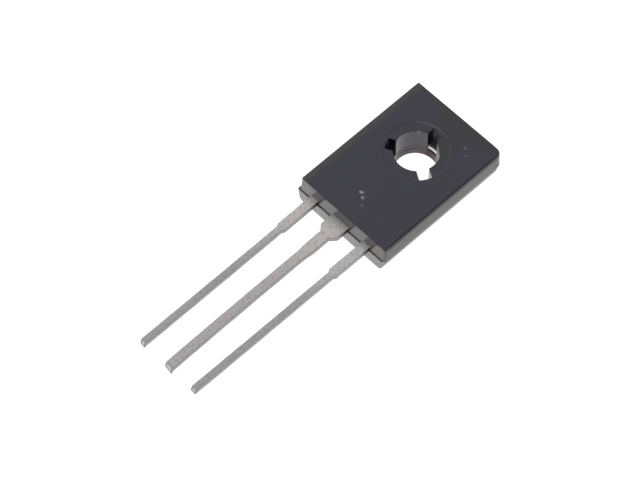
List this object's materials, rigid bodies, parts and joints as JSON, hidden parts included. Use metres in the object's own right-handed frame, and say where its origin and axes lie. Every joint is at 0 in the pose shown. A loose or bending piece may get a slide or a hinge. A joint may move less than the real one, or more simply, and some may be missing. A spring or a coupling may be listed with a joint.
{
  "type": "transistor",
  "caption": "Flat moulded power transistor with a notched mounting hole, a bare metal back and straight tinned leads from one end.",
  "frame": {"origin": "on the axis of the mounting hole, in the back plane", "axes": "+Z out of the front face, -Y along the leads, +X to the right when the front is seen with the leads down"},
  "size_m": [0.0078, 0.0257, 0.0025],
  "materials": {
    "case_epoxy": "dark blue-grey moulded epoxy, slightly satin",
    "tinned_strip": "dull tinned copper strip, sheared edges",
    "silicon": "sawn silicon with a polished top",
    "solder": "dull soft solder",
    "bond_wire": "bare drawn aluminium wire"
  },
  "bodies": {
    "root": {"moulded_case": "case_epoxy", "collector_frame": "tinned_strip", "emitter_lead": "tinned_strip", "base_lead": "tinned_strip", "silicon_chip": "silicon", "chip_solder": "solder", "emitter_bond_wire": "bond_wire", "base_bond_wire": "bond_wire"}
  },
  "joints": []
}
